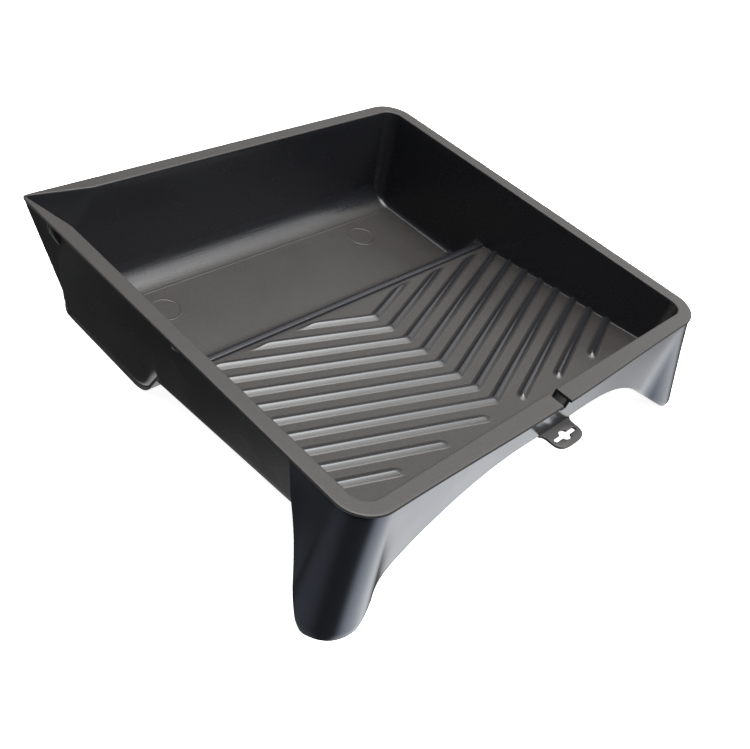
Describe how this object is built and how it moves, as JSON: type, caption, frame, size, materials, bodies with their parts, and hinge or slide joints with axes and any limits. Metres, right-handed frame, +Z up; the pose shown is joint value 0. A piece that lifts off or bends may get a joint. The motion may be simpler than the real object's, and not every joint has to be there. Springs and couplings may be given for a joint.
{
  "type": "paint roller tray",
  "caption": "Black plastic paint roller tray with a deep paint well, a ribbed roll-off ramp, a flat rim with a pouring spout, two spread feet and a hanging tab.",
  "frame": {"origin": "centre of the footprint, on the plane the well floor and the two feet stand on", "axes": "+Z up; +Y towards the deep well; -Y towards the ramp end and the hanging tab; +X across the tray, with the pouring spout at the -X, +Y corner"},
  "size_m": [0.3544, 0.317, 0.0765],
  "materials": {
    "black_plastic": "satin moulded black with fine scratches"
  },
  "bodies": {
    "root": {"well_floor": "black_plastic", "back_wall": "black_plastic", "back_corner_left": "black_plastic", "back_corner_right": "black_plastic", "left_wall": "black_plastic", "right_wall": "black_plastic", "step_wall": "black_plastic", "ramp_deck": "black_plastic", "front_wall": "black_plastic", "front_corner_left": "black_plastic", "front_corner_right": "black_plastic", "spout_facet_left": "black_plastic", "spout_facet_back": "black_plastic", "rim_back": "black_plastic", "rim_back_right_corner": "black_plastic", "rim_right": "black_plastic", "rim_front_right_corner": "black_plastic", "rim_front_right": "black_plastic", "rim_front_left": "black_plastic", "rim_front_left_corner": "black_plastic", "rim_left": "black_plastic", "spout_lip_back": "black_plastic", "spout_lip_left": "black_plastic", "chevron_rib_1": "black_plastic", "chevron_rib_2": "black_plastic", "chevron_rib_3": "black_plastic", "chevron_rib_4": "black_plastic", "chevron_rib_5": "black_plastic", "chevron_rib_6": "black_plastic", "chevron_rib_7": "black_plastic", "chevron_rib_8": "black_plastic", "short_rib_left_1": "black_plastic", "short_rib_right_1": "black_plastic", "short_rib_left_2": "black_plastic", "short_rib_right_2": "black_plastic", "short_rib_left_3": "black_plastic", "short_rib_right_3": "black_plastic", "left_leg": "black_plastic", "right_leg": "black_plastic", "front_apron": "black_plastic", "hang_tab": "black_plastic", "gusset_left_back": "black_plastic", "gusset_left_front": "black_plastic", "gusset_right_back": "black_plastic", "gusset_right_front": "black_plastic"}
  },
  "joints": []
}
